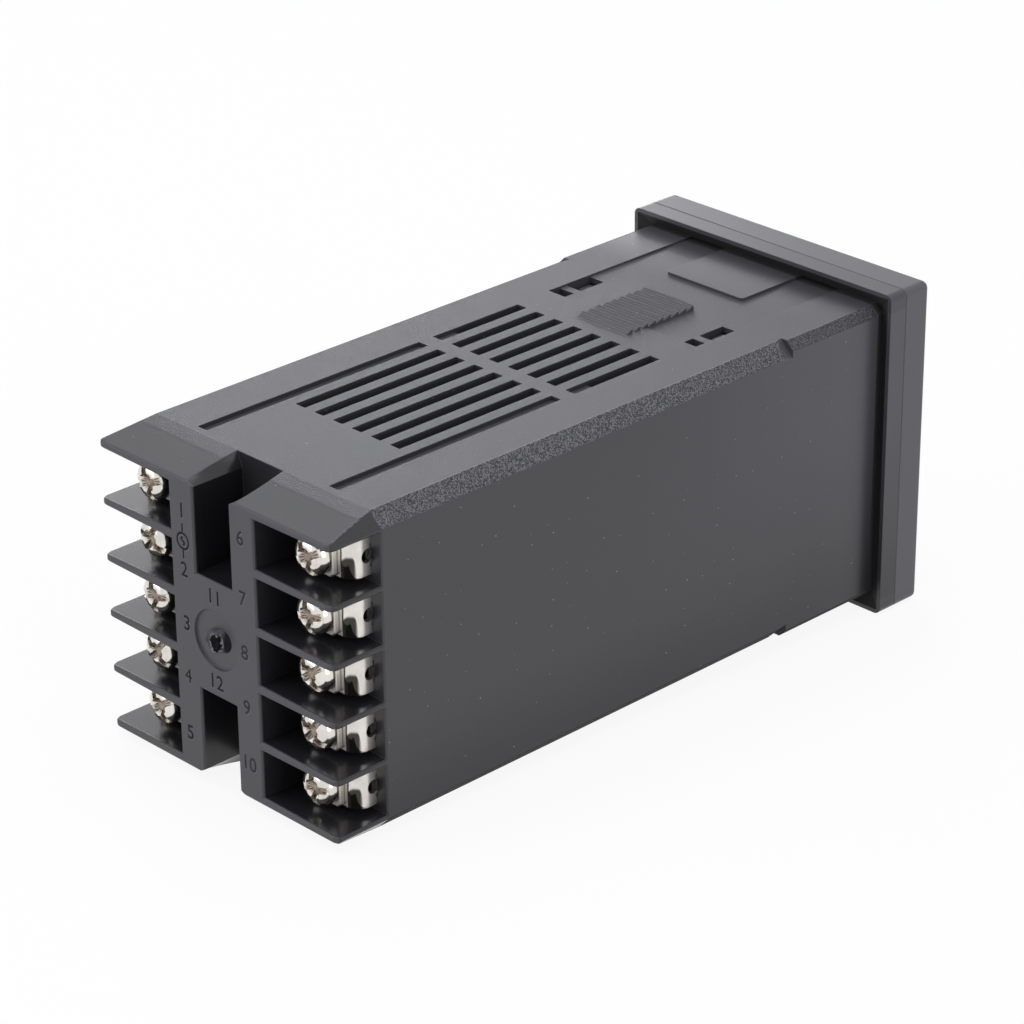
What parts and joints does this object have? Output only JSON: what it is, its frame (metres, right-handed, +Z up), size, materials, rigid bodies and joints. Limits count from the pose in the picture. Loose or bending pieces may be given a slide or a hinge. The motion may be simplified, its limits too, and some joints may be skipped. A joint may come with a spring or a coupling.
{
  "type": "pid temperature controller",
  "caption": "Square panel-mounted temperature controller: black vented case, slide-out chassis with display and keys in front, screw terminals in open bays at the rear",
  "frame": {"origin": "centre of the panel's front plane, where the flange's rear rim seats", "axes": "+Y back through the panel to the terminals, +X to the right seen from the front, +Z up"},
  "size_m": [0.048, 0.1086, 0.048],
  "materials": {
    "case_plastic": "black flame-retardant plastic, fine spark-eroded matte on top and bottom, smoother sides",
    "bezel_plastic": "black plastic, fine matte",
    "pane": "smoked, polished",
    "key_plastic": "grey, fine matte",
    "switch_plastic": "moulded black",
    "board": "glass-fibre laminate under green solder resist",
    "display": "potted, grey-black face",
    "light_pipe": "clear moulded",
    "nickel": "bright nickel plate on steel",
    "core": "grey-black ferrite and yellow tape",
    "can_sleeve": "shrunk sleeve",
    "relay_cover": "moulded blue",
    "chip_body": "moulded epoxy"
  },
  "bodies": {
    "case": {"case": "case_plastic", "terminal_plate_1": "nickel", "terminal_plate_2": "nickel", "terminal_plate_3": "nickel", "terminal_plate_4": "nickel", "terminal_plate_5": "nickel", "terminal_plate_6": "nickel", "terminal_plate_7": "nickel", "terminal_plate_8": "nickel", "terminal_plate_9": "nickel", "terminal_plate_10": "nickel"},
    "chassis": {"front_bezel": "bezel_plastic", "display_pane": "pane", "display_board": "board", "upper_display": "display", "lower_display": "display", "status_light_pipe": "light_pipe", "power_board": "board", "control_board": "board", "power_header": "switch_plastic", "control_header": "switch_plastic", "transformer": "core", "mains_capacitor": "can_sleeve", "output_capacitor": "can_sleeve", "output_relay": "relay_cover", "alarm_relay": "relay_cover", "controller_chip": "chip_body", "set_switch": "switch_plastic", "shift_switch": "switch_plastic", "down_switch": "switch_plastic", "up_switch": "switch_plastic"},
    "set_key": {"set_key": "key_plastic", "set_plunger": "switch_plastic"},
    "shift_key": {"shift_key": "key_plastic", "shift_plunger": "switch_plastic"},
    "down_key": {"down_key": "key_plastic", "down_plunger": "switch_plastic"},
    "up_key": {"up_key": "key_plastic", "up_plunger": "switch_plastic"},
    "terminal_clamp_1": {"terminal_clamp_1": "nickel"},
    "terminal_screw_1": {"terminal_screw_1": "nickel"},
    "terminal_clamp_2": {"terminal_clamp_2": "nickel"},
    "terminal_screw_2": {"terminal_screw_2": "nickel"},
    "terminal_clamp_3": {"terminal_clamp_3": "nickel"},
    "terminal_screw_3": {"terminal_screw_3": "nickel"},
    "terminal_clamp_4": {"terminal_clamp_4": "nickel"},
    "terminal_screw_4": {"terminal_screw_4": "nickel"},
    "terminal_clamp_5": {"terminal_clamp_5": "nickel"},
    "terminal_screw_5": {"terminal_screw_5": "nickel"},
    "terminal_clamp_6": {"terminal_clamp_6": "nickel"},
    "terminal_screw_6": {"terminal_screw_6": "nickel"},
    "terminal_clamp_7": {"terminal_clamp_7": "nickel"},
    "terminal_screw_7": {"terminal_screw_7": "nickel"},
    "terminal_clamp_8": {"terminal_clamp_8": "nickel"},
    "terminal_screw_8": {"terminal_screw_8": "nickel"},
    "terminal_clamp_9": {"terminal_clamp_9": "nickel"},
    "terminal_screw_9": {"terminal_screw_9": "nickel"},
    "terminal_clamp_10": {"terminal_clamp_10": "nickel"},
    "terminal_screw_10": {"terminal_screw_10": "nickel"}
  },
  "joints": [
    {"name": "chassis_slide", "type": "slide", "parent": "case", "child": "chassis", "axis": [0, -1, 0], "range_m": [0, 0.095]},
    {"name": "set_key_press", "type": "slide", "parent": "chassis", "child": "set_key", "axis": [0, 1, 0], "range_m": [0, 0.0004], "stiffness_N_per_m": 2000},
    {"name": "shift_key_press", "type": "slide", "parent": "chassis", "child": "shift_key", "axis": [0, 1, 0], "range_m": [0, 0.0004], "stiffness_N_per_m": 2000},
    {"name": "down_key_press", "type": "slide", "parent": "chassis", "child": "down_key", "axis": [0, 1, 0], "range_m": [0, 0.0004], "stiffness_N_per_m": 2000},
    {"name": "up_key_press", "type": "slide", "parent": "chassis", "child": "up_key", "axis": [0, 1, 0], "range_m": [0, 0.0004], "stiffness_N_per_m": 2000},
    {"name": "terminal_1_lift", "type": "slide", "parent": "case", "child": "terminal_clamp_1", "axis": [0, 1, 0], "range_m": [0, 0.002]},
    {"name": "terminal_1_turn", "type": "hinge", "parent": "terminal_clamp_1", "child": "terminal_screw_1", "pos_m": [0.015, 0.096, 0.016], "axis": [0, 1, 0], "range_deg": [0, 1441]},
    {"name": "terminal_2_lift", "type": "slide", "parent": "case", "child": "terminal_clamp_2", "axis": [0, 1, 0], "range_m": [0, 0.002]},
    {"name": "terminal_2_turn", "type": "hinge", "parent": "terminal_clamp_2", "child": "terminal_screw_2", "pos_m": [0.015, 0.096, 0.008], "axis": [0, 1, 0], "range_deg": [0, 1441]},
    {"name": "terminal_3_lift", "type": "slide", "parent": "case", "child": "terminal_clamp_3", "axis": [0, 1, 0], "range_m": [0, 0.002]},
    {"name": "terminal_3_turn", "type": "hinge", "parent": "terminal_clamp_3", "child": "terminal_screw_3", "pos_m": [0.015, 0.096, 0], "axis": [0, 1, 0], "range_deg": [0, 1441]},
    {"name": "terminal_4_lift", "type": "slide", "parent": "case", "child": "terminal_clamp_4", "axis": [0, 1, 0], "range_m": [0, 0.002]},
    {"name": "terminal_4_turn", "type": "hinge", "parent": "terminal_clamp_4", "child": "terminal_screw_4", "pos_m": [0.015, 0.096, -0.008], "axis": [0, 1, 0], "range_deg": [0, 1441]},
    {"name": "terminal_5_lift", "type": "slide", "parent": "case", "child": "terminal_clamp_5", "axis": [0, 1, 0], "range_m": [0, 0.002]},
    {"name": "terminal_5_turn", "type": "hinge", "parent": "terminal_clamp_5", "child": "terminal_screw_5", "pos_m": [0.015, 0.096, -0.016], "axis": [0, 1, 0], "range_deg": [0, 1441]},
    {"name": "terminal_6_lift", "type": "slide", "parent": "case", "child": "terminal_clamp_6", "axis": [0, 1, 0], "range_m": [0, 0.002]},
    {"name": "terminal_6_turn", "type": "hinge", "parent": "terminal_clamp_6", "child": "terminal_screw_6", "pos_m": [-0.015, 0.096, 0.016], "axis": [0, 1, 0], "range_deg": [0, 1441]},
    {"name": "terminal_7_lift", "type": "slide", "parent": "case", "child": "terminal_clamp_7", "axis": [0, 1, 0], "range_m": [0, 0.002]},
    {"name": "terminal_7_turn", "type": "hinge", "parent": "terminal_clamp_7", "child": "terminal_screw_7", "pos_m": [-0.015, 0.096, 0.008], "axis": [0, 1, 0], "range_deg": [0, 1441]},
    {"name": "terminal_8_lift", "type": "slide", "parent": "case", "child": "terminal_clamp_8", "axis": [0, 1, 0], "range_m": [0, 0.002]},
    {"name": "terminal_8_turn", "type": "hinge", "parent": "terminal_clamp_8", "child": "terminal_screw_8", "pos_m": [-0.015, 0.096, 0], "axis": [0, 1, 0], "range_deg": [0, 1441]},
    {"name": "terminal_9_lift", "type": "slide", "parent": "case", "child": "terminal_clamp_9", "axis": [0, 1, 0], "range_m": [0, 0.002]},
    {"name": "terminal_9_turn", "type": "hinge", "parent": "terminal_clamp_9", "child": "terminal_screw_9", "pos_m": [-0.015, 0.096, -0.008], "axis": [0, 1, 0], "range_deg": [0, 1441]},
    {"name": "terminal_10_lift", "type": "slide", "parent": "case", "child": "terminal_clamp_10", "axis": [0, 1, 0], "range_m": [0, 0.002]},
    {"name": "terminal_10_turn", "type": "hinge", "parent": "terminal_clamp_10", "child": "terminal_screw_10", "pos_m": [-0.015, 0.096, -0.016], "axis": [0, 1, 0], "range_deg": [0, 1441]}
  ],
  "couplings": [
    {"joint": "terminal_1_turn", "follows": "terminal_1_lift", "rad_per_m": 12566},
    {"joint": "terminal_2_turn", "follows": "terminal_2_lift", "rad_per_m": 12566},
    {"joint": "terminal_3_turn", "follows": "terminal_3_lift", "rad_per_m": 12566},
    {"joint": "terminal_4_turn", "follows": "terminal_4_lift", "rad_per_m": 12566},
    {"joint": "terminal_5_turn", "follows": "terminal_5_lift", "rad_per_m": 12566},
    {"joint": "terminal_6_turn", "follows": "terminal_6_lift", "rad_per_m": 12566},
    {"joint": "terminal_7_turn", "follows": "terminal_7_lift", "rad_per_m": 12566},
    {"joint": "terminal_8_turn", "follows": "terminal_8_lift", "rad_per_m": 12566},
    {"joint": "terminal_9_turn", "follows": "terminal_9_lift", "rad_per_m": 12566},
    {"joint": "terminal_10_turn", "follows": "terminal_10_lift", "rad_per_m": 12566}
  ]
}
